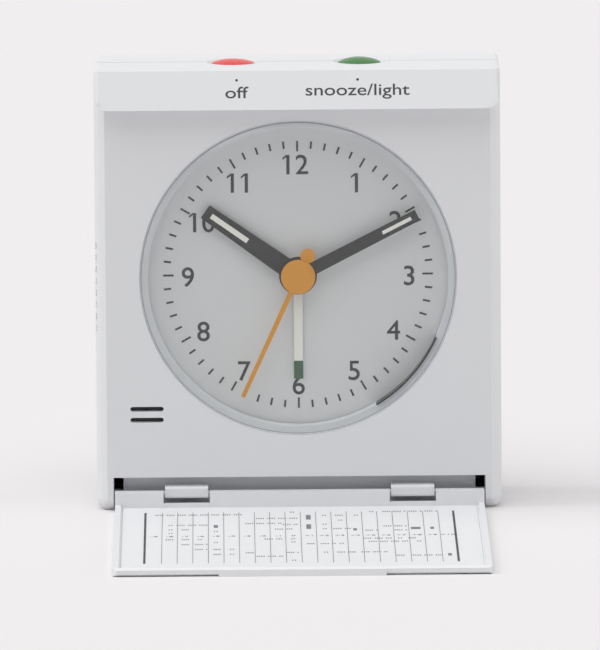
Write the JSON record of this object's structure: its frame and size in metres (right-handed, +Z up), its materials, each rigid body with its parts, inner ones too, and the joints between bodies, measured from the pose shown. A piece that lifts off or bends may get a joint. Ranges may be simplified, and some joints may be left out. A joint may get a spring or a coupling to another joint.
{
  "type": "travel alarm clock",
  "caption": "Square travel alarm clock with a round dial, two top buttons and a fold-down front cover that folds up over the dial.",
  "frame": {"origin": "middle of the underside of the clock's body, on the surface it stands on", "axes": "+Z up, the dial faces -Y, +X to the right as seen from the front"},
  "size_m": [0.077, 0.1017, 0.0853],
  "materials": {
    "white_shell": "satin white moulded plastic",
    "white_cover": "satin white moulded plastic",
    "clear_lens": "clear polished plastic lens",
    "dial": "matt grey-white printed dial",
    "card": "smooth printed card",
    "black_hands": "matt black paint",
    "cream_hand": "luminous cream paint with a dark green tip",
    "yellow_hand": "yellow-orange paint",
    "red_button": "satin red plastic",
    "green_button": "satin green plastic",
    "dark_plastic": "matt dark grey plastic",
    "natural_plastic": "unpainted acetal",
    "board": "green solder mask",
    "copper": "enamelled copper wire",
    "steel": "bright steel",
    "brass": "turned brass",
    "cell_jacket": "plain dark jacket without print"
  },
  "bodies": {
    "clock": {"front_case": "white_shell", "rear_case": "white_shell", "lens": "clear_lens", "dial_plate": "dial", "movement_plate": "natural_plastic", "movement_cover": "natural_plastic", "movement_board": "board", "motor_coil": "copper", "motor_stator": "steel", "quartz_crystal": "steel", "lamp": "clear_lens", "lamp_board": "board", "sounder": "dark_plastic", "off_button_spring": "steel", "snooze_button_spring": "steel", "switch_board": "board", "battery": "cell_jacket", "positive_contact": "steel", "negative_contact": "steel", "contact_spring": "steel", "case_screw_1": "steel", "movement_screw_1": "steel", "case_screw_2": "steel", "movement_screw_2": "steel", "case_screw_3": "steel", "movement_screw_3": "steel", "case_screw_4": "steel", "movement_screw_4": "steel"},
    "cover": {"front_cover": "white_cover", "chart_card": "card"},
    "alarm_hand_set": {"alarm_hand": "cream_hand", "alarm_wheel": "natural_plastic"},
    "hour_hand_set": {"hour_hand": "black_hands", "hour_wheel": "natural_plastic"},
    "minute_hand_set": {"minute_hand": "black_hands", "cannon_pinion": "brass"},
    "second_hand_set": {"second_hand": "yellow_hand", "second_arbor": "steel"},
    "time_setter": {"set_arbor": "natural_plastic", "time_set_knob": "white_shell"},
    "alarm_setter": {"alarm_set_shaft": "natural_plastic", "alarm_set_knob": "white_shell"},
    "off_push": {"off_button": "red_button"},
    "snooze_push": {"snooze_button": "green_button"},
    "door": {"battery_door": "white_shell"}
  },
  "joints": [
    {"name": "cover_hinge", "type": "hinge", "parent": "clock", "child": "cover", "pos_m": [0, -0.0128, 0.00313], "axis": [-1, 0, 0], "range_deg": [0, 90]},
    {"name": "off_button_press", "type": "slide", "parent": "clock", "child": "off_push", "axis": [0, 0, -1], "range_m": [0, 0.0008], "stiffness_N_per_m": 300, "springref_m": -0.0004, "deforming": ["off_button_spring"]},
    {"name": "snooze_button_press", "type": "slide", "parent": "clock", "child": "snooze_push", "axis": [0, 0, -1], "range_m": [0, 0.0008], "stiffness_N_per_m": 300, "springref_m": -0.0004, "deforming": ["snooze_button_spring"]},
    {"name": "second_hand_turn", "type": "hinge", "parent": "clock", "child": "second_hand_set", "pos_m": [0, -0.0081, 0.0446], "axis": [0, 1, 0], "continuous": true},
    {"name": "minute_hand_turn", "type": "hinge", "parent": "clock", "child": "minute_hand_set", "pos_m": [0, -0.0081, 0.0446], "axis": [0, 1, 0], "continuous": true},
    {"name": "hour_hand_turn", "type": "hinge", "parent": "clock", "child": "hour_hand_set", "pos_m": [0, -0.0081, 0.0446], "axis": [0, 1, 0], "continuous": true},
    {"name": "time_setting_turn", "type": "hinge", "parent": "clock", "child": "time_setter", "pos_m": [0.012, 0.013, 0.0446], "axis": [0, 1, 0], "continuous": true},
    {"name": "alarm_setting_turn", "type": "hinge", "parent": "clock", "child": "alarm_setter", "pos_m": [-0.012, 0.013, 0.0446], "axis": [0, 1, 0], "continuous": true},
    {"name": "alarm_hand_turn", "type": "hinge", "parent": "clock", "child": "alarm_hand_set", "pos_m": [0, -0.0081, 0.0446], "axis": [0, 1, 0], "continuous": true},
    {"name": "battery_door_slide", "type": "slide", "parent": "clock", "child": "door", "axis": [0, 0, -1], "range_m": [0, 0.0042]}
  ],
  "couplings": [
    {"joint": "minute_hand_turn", "follows": "second_hand_turn", "ratio": 0.016667},
    {"joint": "hour_hand_turn", "follows": "second_hand_turn", "ratio": 0.0013889},
    {"joint": "time_setting_turn", "follows": "second_hand_turn", "ratio": -0.0055556},
    {"joint": "alarm_hand_turn", "follows": "alarm_setting_turn", "ratio": -0.33333}
  ]
}
